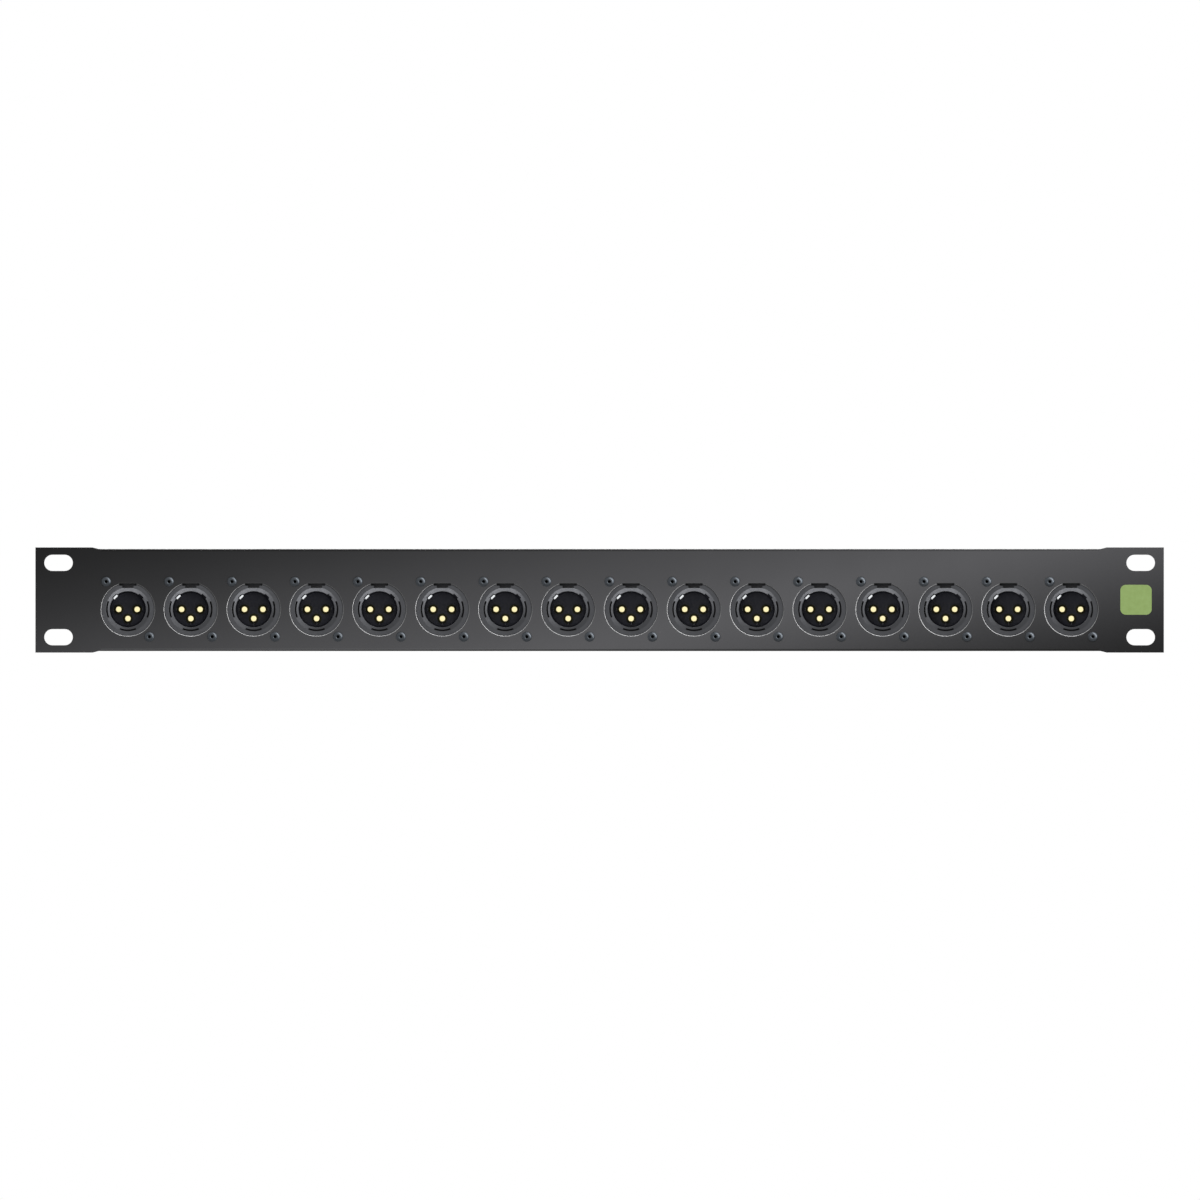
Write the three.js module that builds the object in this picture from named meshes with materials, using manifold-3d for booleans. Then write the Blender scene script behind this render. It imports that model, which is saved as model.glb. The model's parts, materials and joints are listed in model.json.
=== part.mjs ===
// Patch panel for a 19-inch rack, one unit high: sixteen three-pole male chassis connectors riveted
// behind one folded steel panel. Millimetres. The origin is the centre of the rack-mounting plane, on the
// back of the ears. +X runs along the panel, +Z is up, the front faces -Y and the connectors reach back
// along +Y.
import * as THREE from "three";
import { mergeVertices } from "three/addons/utils/BufferGeometryUtils.js";
import Module from "manifold-3d";

const wasm = await Module();
wasm.setup();

// ---- panel ----
const PANEL = {
  halfWidth: 241.3,
  earHalfHeight: 22.5,
  bodyHalfHeight: 21.82,
  earStepOuterX: 216.9,
  earStepInnerX: 214.2,
  flangeEndX: 213.5,
  webLapX: 208,
  webLapHalfHeight: 19,
  thickness: 1.5,
  bendOuterRadius: 2,
  bendInnerRadius: 0.5,
  flangeBackY: 10.5,
};
const RACK_SLOT = { x: 231.4, z: 15.9, length: 12.2, height: 6.9 };

// ---- row of connectors ----
const CONNECTOR_COUNT = 16;
const PITCH = 26.9;
const ROW_Z = -4;
const PANEL_HOLE_RADIUS = 11.6;
const RIVET_HOLE_RADIUS = 1.65;
const RIVET_OFFSETS = [
  { x: -9.5, z: 12 },
  { x: 9.5, z: -12 },
];

// ---- one connector: radii and depths, the depths measured along +Y from the back face of the panel ----
const FLANGE = { width: 26, height: 31, cornerRadius: 3, backY: 2 };
const SHELL = {
  bossRadius: 11.3,
  ringFaceY: -0.9,
  lipOuterRadius: 9.2,
  lipFrontY: -1.4,
  cupRadius: 7.7,
  tubeRadius: 10.5,
  tubeRootY: 1,
  seatY: 13,
  seatRadius: 9.3,
  backY: 17,
};
const ARC_SLOT = {
  inner: 8.4,
  outer: 9.1,
  halfAngle: Math.PI / 8,
  floorY: 1,
  angles: [0, Math.PI, -Math.PI / 2],
};
const LATCH_RECESS = [
  { halfWidth: 3.6, bottomZ: 10.2, topZ: 11.15 },
  { halfWidth: 2.35, bottomZ: 9.3, topZ: 10.5 },
];
const LATCH_FLOOR_Y = 1.2;
const KEYWAY = { width: 2.5, outerRadius: 8.3, innerRadius: 6.5, angles: [Math.PI / 4, (3 * Math.PI) / 4] };
const RIVET = {
  headFrontY: -2.4,
  crownRadius: 1.4,
  crownY: -2.15,
  headRadius: 2.15,
  stemRadius: 1.3,
  tailRadius: 1.9,
  tailY: 3.9,
};
const INSERT = { faceRadius: 6.8, faceY: 12.4, radius: 9, backY: 17.5 };
const PIN = {
  spread: 3.96,
  tipY: 0,
  tipRadius: 0.75,
  shoulderY: [0.15, 0.9],
  radius: 1.2,
  rootY: 15,
  cupRadius: 1.5,
  backY: 22.5,
};
const PIN_CENTRES = [
  { x: PIN.spread, z: 0 },
  { x: -PIN.spread, z: 0 },
  { x: 0, z: -PIN.spread },
];
const CONTACT = {
  width: 1.9,
  frontRadius: 7.3,
  frontY: -0.7,
  noseRadius: 6.9,
  noseY: 0.5,
  heelRadius: 7.3,
  heelY: 10,
  outerRadius: 8,
};
const CONTACT_ANGLE = (3 * Math.PI) / 4;

// Sides of each turned piece, and the curve divisions of each arc (an arc gets twice as many chords).
const SIDES = { hole: 18, tube: 18, rivet: 6, pin: 6 };
const ARC_DIVISIONS = { corner: 1, bend: 1, slotEnd: 3, arcSlot: 1 };

// How far a cutting solid runs past the surface that it starts from, and past a blind seat.
const RUN_OUT = 1;
const SEAT_RUN_OUT = 0.5;

const MATERIALS = {
  panel: new THREE.MeshStandardMaterial({ color: 0x2b2b2d, roughness: 0.55, metalness: 0.1 }),
  shell: new THREE.MeshStandardMaterial({ color: 0x55575a, roughness: 0.45, metalness: 0.8 }),
  insert: new THREE.MeshStandardMaterial({ color: 0x15161c, roughness: 0.6, metalness: 0 }),
  contact: new THREE.MeshStandardMaterial({ color: 0xd8dbe0, roughness: 0.25, metalness: 1 }),
};

// ---- helpers ----

/** A closed three.js geometry as a manifold-3d solid. */
function solid(geometry) {
  const bare = geometry.clone();
  bare.deleteAttribute("normal");
  bare.deleteAttribute("uv");
  const merged = mergeVertices(bare, 1e-4);
  return new wasm.Manifold(
    new wasm.Mesh({
      numProp: 3,
      vertProperties: new Float32Array(merged.attributes.position.array),
      triVerts: new Uint32Array(merged.index.array),
    }),
  );
}

/** A manifold-3d solid as a named mesh. */
function meshOf(name, made, material) {
  const data = made.getMesh();
  const geometry = new THREE.BufferGeometry();
  geometry.setAttribute("position", new THREE.BufferAttribute(new Float32Array(data.vertProperties), 3));
  geometry.setIndex(new THREE.BufferAttribute(new Uint32Array(data.triVerts), 1));
  geometry.computeVertexNormals();
  const mesh = new THREE.Mesh(geometry, material);
  mesh.name = name;
  return mesh;
}

/** An upright outline in X and Z, given depth from frontY to backY. */
function slab(shape, frontY, backY, segments) {
  const geometry = new THREE.ExtrudeGeometry(shape, {
    depth: backY - frontY,
    bevelEnabled: false,
    curveSegments: segments,
  });
  geometry.rotateX(Math.PI / 2);
  geometry.translate(0, backY, 0);
  return solid(geometry);
}

/** A closed [radius, y] profile turned about the Y axis. */
function turned(profile, segments) {
  const points = profile.map(([radius, y]) => new THREE.Vector2(radius, y));
  return solid(new THREE.LatheGeometry(points, segments));
}

/** A straight polygon from [x, z] corners. */
function outline(corners) {
  return new THREE.Shape(corners.map(([x, z]) => new THREE.Vector2(x, z)));
}

/** A rectangle in X and Z between two corners. */
function rectangle(x0, z0, x1, z1) {
  return outline([
    [x0, z0],
    [x1, z0],
    [x1, z1],
    [x0, z1],
  ]);
}

/** A rectangle with round corners, centred on the axis. */
function roundedRectangle(width, height, radius) {
  const x = width / 2 - radius;
  const z = height / 2 - radius;
  const shape = new THREE.Shape();
  shape.absarc(x, z, radius, 0, Math.PI / 2);
  shape.absarc(-x, z, radius, Math.PI / 2, Math.PI);
  shape.absarc(-x, -z, radius, Math.PI, 1.5 * Math.PI);
  shape.absarc(x, -z, radius, 1.5 * Math.PI, 2 * Math.PI);
  return shape;
}

/** A stadium outline lying along X, used as a hole. */
function slotPath(x, z, length, height) {
  const radius = height / 2;
  const reach = length / 2 - radius;
  const path = new THREE.Path();
  path.absarc(x + reach, z, radius, -Math.PI / 2, Math.PI / 2);
  path.absarc(x - reach, z, radius, Math.PI / 2, 1.5 * Math.PI);
  return path;
}

/** A round hole through the panel at x, z. */
function drill(radius, x, z, segments) {
  const bit = [
    [0, -PANEL.thickness - RUN_OUT],
    [radius, -PANEL.thickness - RUN_OUT],
    [radius, RUN_OUT],
    [0, RUN_OUT],
  ];
  return turned(bit, segments).translate([x, 0, z]);
}

// ---- the folded panel: a channel with a web and two return flanges, and a flat ear at each end ----

function channel() {
  const { bodyHalfHeight: high, thickness, flangeBackY, flangeEndX } = PANEL;
  const { bendOuterRadius, bendInnerRadius } = PANEL;
  const bendY = -thickness + bendOuterRadius;
  const bendZ = high - bendOuterRadius;
  const section = new THREE.Shape();
  // drawn in Z and Y, then stood up so that it runs along X
  section.moveTo(flangeBackY, high);
  section.absarc(bendY, bendZ, bendOuterRadius, Math.PI / 2, Math.PI);
  section.absarc(bendY, -bendZ, bendOuterRadius, Math.PI, 1.5 * Math.PI);
  section.lineTo(flangeBackY, -high);
  section.lineTo(flangeBackY, -high + thickness);
  section.absarc(bendY, -bendZ, bendInnerRadius, 1.5 * Math.PI, Math.PI, true);
  section.absarc(bendY, bendZ, bendInnerRadius, Math.PI, Math.PI / 2, true);
  section.lineTo(flangeBackY, high - thickness);
  const geometry = new THREE.ExtrudeGeometry(section, {
    depth: 2 * flangeEndX,
    bevelEnabled: false,
    curveSegments: ARC_DIVISIONS.bend,
  });
  geometry.translate(0, 0, -flangeEndX);
  // section x becomes Y, section y becomes Z, and the run becomes X
  geometry.applyMatrix4(new THREE.Matrix4().set(0, 0, 1, 0, 1, 0, 0, 0, 0, 1, 0, 0, 0, 0, 0, 1));
  return solid(geometry);
}

function ear(side) {
  const half = [
    [PANEL.webLapX, PANEL.webLapHalfHeight],
    [PANEL.flangeEndX, PANEL.webLapHalfHeight],
    [PANEL.flangeEndX, PANEL.bodyHalfHeight],
    [PANEL.earStepInnerX, PANEL.bodyHalfHeight],
    [PANEL.earStepOuterX, PANEL.earHalfHeight],
    [PANEL.halfWidth, PANEL.earHalfHeight],
  ];
  const mirrored = half.map(([x, z]) => [x, -z]).reverse();
  const shape = outline([...half, ...mirrored].map(([x, z]) => [side * x, z]));
  for (const z of [RACK_SLOT.z, -RACK_SLOT.z]) {
    shape.holes.push(slotPath(side * RACK_SLOT.x, z, RACK_SLOT.length, RACK_SLOT.height));
  }
  return slab(shape, -PANEL.thickness, 0, ARC_DIVISIONS.slotEnd);
}

function connectorX(index) {
  return (index - (CONNECTOR_COUNT - 1) / 2) * PITCH;
}

function frontPanel() {
  let made = channel().add(ear(1)).add(ear(-1));
  for (let i = 0; i < CONNECTOR_COUNT; i++) {
    made = made.subtract(drill(PANEL_HOLE_RADIUS, connectorX(i), ROW_Z, SIDES.hole));
    for (const at of RIVET_OFFSETS) {
      made = made.subtract(drill(RIVET_HOLE_RADIUS, connectorX(i) + at.x, ROW_Z + at.z, SIDES.rivet));
    }
  }
  return made;
}

// ---- connector pieces, each about its own axis ----

/** A ring sector in X and Z, centred on the given angle. */
function ringSector(inner, outer, angle, halfAngle) {
  const shape = new THREE.Shape();
  shape.absarc(0, 0, outer, angle - halfAngle, angle + halfAngle);
  shape.absarc(0, 0, inner, angle + halfAngle, angle - halfAngle, true);
  return shape;
}

/** The space of a keyway: a block on a ray from the axis, from before the lip into the insert's seat. */
function rayBlock(innerRadius, outerRadius, width, angle) {
  const section = rectangle(innerRadius, -width / 2, outerRadius, width / 2);
  const block = slab(section, SHELL.lipFrontY - RUN_OUT, SHELL.seatY + SEAT_RUN_OUT, 1);
  return block.rotate([0, (-angle * 180) / Math.PI, 0]);
}

function rivet() {
  return turned(
    [
      [0, RIVET.headFrontY],
      [RIVET.crownRadius, RIVET.crownY],
      [RIVET.headRadius, -PANEL.thickness],
      [RIVET.stemRadius, -PANEL.thickness],
      [RIVET.stemRadius, FLANGE.backY / 2],
      [RIVET.tailRadius, FLANGE.backY],
      [RIVET.tailRadius, RIVET.tailY],
      [0, RIVET.tailY],
    ],
    SIDES.rivet,
  );
}

/** The die-cast shell with its mounting flange, and the two rivets that hold it to the panel. */
function connectorShell() {
  const outside = turned(
    [
      [0, SHELL.lipFrontY],
      [SHELL.cupRadius, SHELL.lipFrontY],
      [SHELL.lipOuterRadius, SHELL.ringFaceY],
      [SHELL.bossRadius, SHELL.ringFaceY],
      [SHELL.bossRadius, SHELL.tubeRootY],
      [SHELL.tubeRadius, SHELL.tubeRootY],
      [SHELL.tubeRadius, SHELL.backY],
      [0, SHELL.backY],
    ],
    SIDES.tube,
  );
  const inside = turned(
    [
      [0, SHELL.lipFrontY - RUN_OUT],
      [SHELL.cupRadius, SHELL.lipFrontY - RUN_OUT],
      [SHELL.cupRadius, SHELL.seatY],
      [SHELL.seatRadius, SHELL.seatY],
      [SHELL.seatRadius, SHELL.backY + RUN_OUT],
      [0, SHELL.backY + RUN_OUT],
    ],
    SIDES.tube,
  );
  const plate = roundedRectangle(FLANGE.width, FLANGE.height, FLANGE.cornerRadius);
  let made = outside.add(slab(plate, 0, FLANGE.backY, ARC_DIVISIONS.corner)).subtract(inside);
  for (const angle of ARC_SLOT.angles) {
    const sector = ringSector(ARC_SLOT.inner, ARC_SLOT.outer, angle, ARC_SLOT.halfAngle);
    made = made.subtract(slab(sector, SHELL.lipFrontY - RUN_OUT, ARC_SLOT.floorY, ARC_DIVISIONS.arcSlot));
  }
  for (const step of LATCH_RECESS) {
    const cut = rectangle(-step.halfWidth, step.bottomZ, step.halfWidth, step.topZ);
    made = made.subtract(slab(cut, SHELL.lipFrontY - RUN_OUT, LATCH_FLOOR_Y, 1));
  }
  for (const angle of KEYWAY.angles) {
    made = made.subtract(rayBlock(KEYWAY.innerRadius, KEYWAY.outerRadius, KEYWAY.width, angle));
  }
  for (const at of RIVET_OFFSETS) {
    made = made.add(rivet().translate([at.x, 0, at.z]));
  }
  return made;
}

/** The moulded insert, its face raised in the cup's floor, with its three pins and their solder cups. */
function connectorInsert() {
  let made = turned(
    [
      [0, INSERT.faceY],
      [INSERT.faceRadius, INSERT.faceY],
      [INSERT.faceRadius, SHELL.seatY],
      [INSERT.radius, SHELL.seatY],
      [INSERT.radius, INSERT.backY],
      [0, INSERT.backY],
    ],
    SIDES.tube,
  );
  const pin = turned(
    [
      [0, PIN.tipY],
      [PIN.tipRadius, PIN.shoulderY[0]],
      [PIN.radius, PIN.shoulderY[1]],
      [PIN.radius, PIN.rootY],
      [PIN.cupRadius, PIN.rootY],
      [PIN.cupRadius, PIN.backY],
      [0, PIN.backY],
    ],
    SIDES.pin,
  );
  for (const at of PIN_CENTRES) {
    made = made.add(pin.translate([at.x, 0, at.z]));
  }
  return made;
}

/** The spring strip that earths the mating plug's shell: it lies in a keyway, its nose bevelled inwards. */
function groundContact() {
  const side = outline([
    [CONTACT.frontRadius, CONTACT.frontY],
    [CONTACT.outerRadius, CONTACT.frontY],
    [CONTACT.outerRadius, SHELL.seatY],
    [CONTACT.heelRadius, SHELL.seatY],
    [CONTACT.heelRadius, CONTACT.heelY],
    [CONTACT.noseRadius, CONTACT.noseY],
  ]);
  const geometry = new THREE.ExtrudeGeometry(side, { depth: CONTACT.width, bevelEnabled: false });
  geometry.translate(0, 0, -CONTACT.width / 2);
  return solid(geometry).rotate([0, (-CONTACT_ANGLE * 180) / Math.PI, 0]);
}

// ---- assembly ----

const group = new THREE.Group();
group.name = "patch_panel";
group.add(meshOf("front_panel", frontPanel(), MATERIALS.panel));

const shell = connectorShell();
const insert = connectorInsert();
const contact = groundContact();
for (let i = 0; i < CONNECTOR_COUNT; i++) {
  const number = String(i + 1).padStart(2, "0");
  const connector = new THREE.Group();
  connector.name = "connector_" + number;
  connector.position.set(connectorX(i), 0, ROW_Z);
  connector.add(meshOf("connector_shell_" + number, shell, MATERIALS.shell));
  connector.add(meshOf("connector_insert_" + number, insert, MATERIALS.insert));
  connector.add(meshOf("ground_contact_" + number, contact, MATERIALS.contact));
  group.add(connector);
}

export default group;
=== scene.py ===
import json
import math

import bmesh
import bpy
from mathutils import Matrix, Vector
from mathutils.geometry import delaunay_2d_cdt

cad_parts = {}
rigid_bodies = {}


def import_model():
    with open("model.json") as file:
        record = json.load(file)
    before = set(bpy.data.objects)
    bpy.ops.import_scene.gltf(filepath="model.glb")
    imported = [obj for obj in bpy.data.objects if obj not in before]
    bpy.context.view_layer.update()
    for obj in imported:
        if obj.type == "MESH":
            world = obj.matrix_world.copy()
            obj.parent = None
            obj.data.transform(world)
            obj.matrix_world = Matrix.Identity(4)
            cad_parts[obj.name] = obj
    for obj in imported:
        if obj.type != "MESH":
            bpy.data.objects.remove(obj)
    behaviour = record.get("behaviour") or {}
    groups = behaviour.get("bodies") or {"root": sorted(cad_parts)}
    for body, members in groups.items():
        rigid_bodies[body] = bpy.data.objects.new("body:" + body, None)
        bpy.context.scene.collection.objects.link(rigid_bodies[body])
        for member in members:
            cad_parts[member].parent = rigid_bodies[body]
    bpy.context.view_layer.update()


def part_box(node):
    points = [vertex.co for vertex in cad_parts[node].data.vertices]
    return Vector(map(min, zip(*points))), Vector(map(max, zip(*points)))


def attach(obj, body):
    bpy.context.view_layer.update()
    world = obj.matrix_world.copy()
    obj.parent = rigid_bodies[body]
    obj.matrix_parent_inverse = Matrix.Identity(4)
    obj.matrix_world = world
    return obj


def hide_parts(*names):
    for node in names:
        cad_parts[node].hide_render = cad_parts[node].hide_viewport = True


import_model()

# ---- sizes: millimetres, with depths along +Y from the back face of the panel ----
MM = 0.001
CONNECTORS = 16
PANEL_BACK = 0.0
PANEL_FRONT = round(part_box("front_panel")[0][1] / MM, 3)
HALF_WIDTH, FLANGE_BACK, EAR_HALF_HEIGHT = (round(reach / MM, 3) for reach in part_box("front_panel")[1])
SOLDER_CUP_BACK = round(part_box("connector_insert_01")[1][1] / MM, 3)
BODY_HALF_HEIGHT = 21.82
EAR_STEP_OUTER = 216.9
EAR_STEP_INNER = 214.2
BEND_END_X = 213.5
WEB_HALF_HEIGHT = 18.3  # the flat web, short of the bends
BEND_OUTER = 1.2
BEND_INNER = 0.3
SLOT_X, SLOT_Z, SLOT_LENGTH, SLOT_HEIGHT = 231.4, 15.9, 12.2, 6.9
HOLE_RADIUS = 11.3
HOLE_BEVEL = 0.32
HOLE_SIDES = 92
NOTCH_HALF_WIDTH, NOTCH_TOP = 3.6, 11.04  # the hole's flat top, over the latch recess
RIM_PROUD, RIM_DEEP = 0.012, 0.08  # the bare strip's faces, from the rounded edge that it covers
EDGE_BEVEL, BACK_BEVEL = 0.16, 0.1
BEVEL_STEPS = 4
RIVET_HOLE_RADIUS, RIVET_HOLE_BEVEL, RIVET_HOLE_SIDES = 1.65, 0.05, 20
RIVET_OFFSETS = ((-9.3, 11.85), (9.15, -11.7))

CUP_RADIUS = 7.7
LIP_OUTER = 9.45
LIP_FRONT = -1.42
RING_FACE = -0.9
BOSS_RADIUS = 11.26
TUBE_RADIUS = 10.5
SEAT_RADIUS = 9.3
SEAT_Y = 13.0
TUBE_BACK = 17.0
FLANGE_WIDTH, FLANGE_HEIGHT, FLANGE_CORNER, FLANGE_THICK = 26.0, 31.0, 3.0, 2.0
ARC_INNER, ARC_OUTER, ARC_HALF = 8.62, 9.32, math.radians(22.5)
ARC_FLOOR = 1.0
LATCH_FLOOR = 1.2
LATCH_WIDE, LATCH_NARROW = 3.65, 2.4  # half widths of the recess, above its step and below
LATCH_TOP, LATCH_STEP, LATCH_BOTTOM = 11.8, 10.1, 9.1
KEYWAY_INNER, KEYWAY_OUTER, KEYWAY_WIDTH = 6.5, 8.3, 2.5
INSERT_FACE, INSERT_FACE_RADIUS = 12.4, 7.3
INSERT_RADIUS, INSERT_BACK = 9.0, 17.5
PIN_RADIUS, PIN_SPREAD = 1.36, 3.94
PIN_PLACES = (("1", PIN_SPREAD, 0.0), ("2", -PIN_SPREAD, 0.0), ("3", 0.0, -PIN_SPREAD))
SOLDER_CUP_RADIUS, SOLDER_CUP_BORE = 1.5, 1.05
WELD = 1e-7  # in metres: points nearer than this are one point
CUT_RUN_OUT = 2.0  # how far a cutting solid starts in front of the lip, or runs past the solder cups
PIN_HALO_RADIUS, PIN_HALO_PROUD = 2.14, 0.03
NUMBER_RADIUS, NUMBER_SIZE = 6.2, 1.5
PATCH_WIDTH, PATCH_HEIGHT, PATCH_CORNER, PATCH_INK = 13.4, 12.8, 2.4, 0.04
PATCH_X, PATCH_Z = 229.4, 0.1
CONTACT_ANGLE = math.radians(135)

# ---- the studio, in metres: the camera, the room's radiance below and above, and the sheen card ----
CAMERA_SPAN, CAMERA_PLACE = 0.5132, (0.00016, -1.0, 0.0)
ROOM_LOW, ROOM_HIGH = 0.14, 0.26
SHEEN_TILT = 13.63  # degrees that the band climbs to the right
SHEEN_CENTRE = (0.085, -0.0215, 0.0)
SHEEN_SIZE = (0.72, 0.30)
SHEEN_RADIANCE = 2.22
# millimetres from the band's crest, across it and upwards, and its brightness there
SHEEN_BAND = (
    (-65, 0.03),
    (-50, 0.11),
    (-35, 0.32),
    (-20, 0.63),
    (-10, 0.82),
    (0, 1.0),
    (10, 0.82),
    (20, 0.69),
    (35, 0.57),
    (50, 0.41),
    (70, 0.2),
    (90, 0.08),
    (115, 0.02),
    (140, 0.0),
)

scene = bpy.context.scene


# ---------------------------------------------------------------- materials
class Nodes:
    """A material's node tree with short calls for the nodes used here."""

    def __init__(self, name):
        self.material = bpy.data.materials.new(name)
        self.material.use_nodes = True
        self.tree = self.material.node_tree
        self.bsdf = self.tree.nodes["Principled BSDF"]
        self.coords = self.tree.nodes.new("ShaderNodeTexCoord").outputs["Object"]

    def link(self, source, target):
        self.tree.links.new(source, target)

    def noise(self, scale, detail=3.0, rough=0.5, stretch=None):
        node = self.tree.nodes.new("ShaderNodeTexNoise")
        node.inputs["Scale"].default_value = scale
        node.inputs["Detail"].default_value = detail
        node.inputs["Roughness"].default_value = rough
        source = self.coords
        if stretch:
            mapping = self.tree.nodes.new("ShaderNodeMapping")
            mapping.inputs["Scale"].default_value = stretch
            self.link(self.coords, mapping.inputs["Vector"])
            source = mapping.outputs["Vector"]
        self.link(source, node.inputs["Vector"])
        return node.outputs["Fac"]

    def ramp(self, source, stops):
        node = self.tree.nodes.new("ShaderNodeValToRGB")
        elements = node.color_ramp.elements
        while len(elements) < len(stops):
            elements.new(0.5)
        for element, (place, value) in zip(elements, stops):
            element.position = place
            element.color = (*value, 1.0) if len(value) == 3 else value
        self.link(source, node.inputs["Fac"])
        return node.outputs["Color"]

    def spread(self, source, low, high, from_low=0.3, from_high=0.7):
        node = self.tree.nodes.new("ShaderNodeMapRange")
        node.inputs["From Min"].default_value = from_low
        node.inputs["From Max"].default_value = from_high
        node.inputs["To Min"].default_value = low
        node.inputs["To Max"].default_value = high
        self.link(source, node.inputs["Value"])
        return node.outputs["Result"]

    def mix(self, factor, a, b, blend="MIX"):
        node = self.tree.nodes.new("ShaderNodeMix")
        node.data_type = "RGBA"
        node.blend_type = blend
        sockets = {s.identifier: s for s in node.inputs}
        for socket, value in (
            (sockets["Factor_Float"], factor),
            (sockets["A_Color"], a),
            (sockets["B_Color"], b),
        ):
            if isinstance(value, bpy.types.NodeSocket):
                self.link(value, socket)
            elif isinstance(value, tuple):
                socket.default_value = (*value, 1.0)
            else:
                socket.default_value = value
        return next(s for s in node.outputs if s.identifier == "Result_Color")

    def bump(self, source, distance, strength=1.0, under=None):
        node = self.tree.nodes.new("ShaderNodeBump")
        node.inputs["Distance"].default_value = distance
        node.inputs["Strength"].default_value = strength
        self.link(source, node.inputs["Height"])
        if under:
            self.link(under, node.inputs["Normal"])
        return node.outputs["Normal"]

    def finish(self, colour=None, roughness=None, normal=None, **constants):
        for name, value in (("Base Color", colour), ("Roughness", roughness), ("Normal", normal)):
            if value is not None:
                self.link(value, self.bsdf.inputs[name])
        for name, value in constants.items():
            self.bsdf.inputs[name.replace("_", " ")].default_value = value
        return self.material


def panel_paint():
    n = Nodes("panel_paint")
    cloud = n.noise(18, 4)
    grain = n.noise(1400, 2)
    dust = n.noise(420, 6, 0.7)
    base = n.ramp(cloud, ((0.3, (0.0072, 0.0071, 0.0072)), (0.7, (0.0100, 0.0099, 0.0101))))
    specks = n.ramp(dust, ((0.66, (0.0, 0.0, 0.0)), (0.8, (0.012, 0.012, 0.012))))
    colour = n.mix(1.0, base, specks, "ADD")
    rough = n.spread(n.noise(60, 5), 0.40, 0.46)
    normal = n.bump(grain, 0.00002, 0.35)
    return n.finish(colour, rough, normal, Specular_IOR_Level=0.5)


def worn_edge():
    n = Nodes("panel_worn_edge")
    patches = n.noise(320, 5, 0.7)
    colour = n.ramp(patches, ((0.3, (0.27, 0.27, 0.275)), (0.7, (0.40, 0.40, 0.405))))
    metal = n.spread(patches, 0.7, 0.95, 0.3, 0.6)
    n.link(metal, n.bsdf.inputs["Metallic"])
    rough = n.spread(n.noise(900, 3), 0.36, 0.46)
    return n.finish(colour, rough, n.bump(n.noise(2200, 2), 0.00002, 0.3))


def shell_metal():
    n = Nodes("shell_metal")
    cast = n.noise(700, 4, 0.6)
    tone = n.noise(90, 3)
    colour = n.ramp(tone, ((0.3, (0.168, 0.172, 0.186)), (0.7, (0.200, 0.204, 0.219))))
    rough = n.spread(cast, 0.34, 0.43)
    normal = n.bump(cast, 0.00003, 0.25)
    return n.finish(colour, rough, normal, Metallic=0.85)


# A dark matt colour for the faces inside recesses: painted shade, far darker than the casting, standing for
# the shadow that lies in them.
def recess_dark(name, low, high):
    n = Nodes(name)
    dull, pale = (low, low, low * 1.08), (high, high, high * 1.08)
    colour = n.ramp(n.noise(500, 4), ((0.3, dull), (0.7, pale)))
    rough = n.spread(n.noise(900, 3), 0.55, 0.75)
    return n.finish(colour, rough, n.bump(n.noise(1500, 3), 0.00003, 0.3), Specular_IOR_Level=0.3)


# The olive rings round the pins: painted shade round each pin, tinted by a painted reflection of the gold
# pin.
def collar_plastic():
    n = Nodes("collar_plastic")
    colour = n.ramp(n.noise(600, 3), ((0.3, (0.044, 0.042, 0.012)), (0.7, (0.060, 0.057, 0.019))))
    fine = n.noise(2600, 3)
    return n.finish(colour, n.spread(fine, 0.5, 0.65), n.bump(fine, 0.00001, 0.2), Specular_IOR_Level=0.15)


def insert_plastic():
    n = Nodes("insert_plastic")
    colour = n.ramp(n.noise(150, 4), ((0.3, (0.013, 0.016, 0.038)), (0.7, (0.019, 0.022, 0.052))))
    fine = n.noise(2600, 3)
    rough = n.spread(fine, 0.42, 0.62)
    return n.finish(colour, rough, n.bump(fine, 0.00002, 0.3), Specular_IOR_Level=0.5)


def number_plastic():
    n = Nodes("number_plastic")
    colour = n.ramp(n.noise(400, 3), ((0.3, (0.22, 0.22, 0.24)), (0.7, (0.32, 0.32, 0.34))))
    fine = n.noise(3000, 3)
    return n.finish(colour, n.spread(fine, 0.45, 0.6), n.bump(fine, 0.00001, 0.2))


def pin_gold():
    n = Nodes("pin_gold")
    wear = n.noise(500, 4, 0.6)
    colour = n.ramp(wear, ((0.3, (0.99, 0.885, 0.525)), (0.75, (0.96, 0.84, 0.47))))
    rings = n.noise(600, 3, 0.6, stretch=(0.15, 6.0, 0.15))
    return n.finish(colour, n.spread(rings, 0.16, 0.26), n.bump(rings, 0.00001, 0.2), Metallic=1.0)


def contact_metal():
    n = Nodes("contact_metal")
    brushed = n.noise(900, 3, 0.6, stretch=(3.0, 0.2, 3.0))
    colour = n.ramp(brushed, ((0.3, (0.76, 0.79, 0.81)), (0.7, (0.86, 0.88, 0.90))))
    return n.finish(colour, n.spread(brushed, 0.18, 0.3), n.bump(brushed, 0.00001, 0.2), Metallic=1.0)


def rivet_steel():
    n = Nodes("rivet_steel")
    stain = n.noise(800, 4, 0.6)
    colour = n.ramp(stain, ((0.3, (0.215, 0.242, 0.272)), (0.7, (0.275, 0.302, 0.335))))
    return n.finish(colour, n.spread(stain, 0.32, 0.44), n.bump(n.noise(2500, 3), 0.00002, 0.3), Metallic=0.9)


def print_green():
    n = Nodes("print_green")
    ink = n.noise(500, 5, 0.6)
    colour = n.ramp(ink, ((0.3, (0.455, 0.655, 0.205)), (0.7, (0.52, 0.73, 0.255))))
    fine = n.noise(2200, 3)
    return n.finish(colour, n.spread(fine, 0.45, 0.6), n.bump(fine, 0.00001, 0.25), Specular_IOR_Level=0.4)


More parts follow.
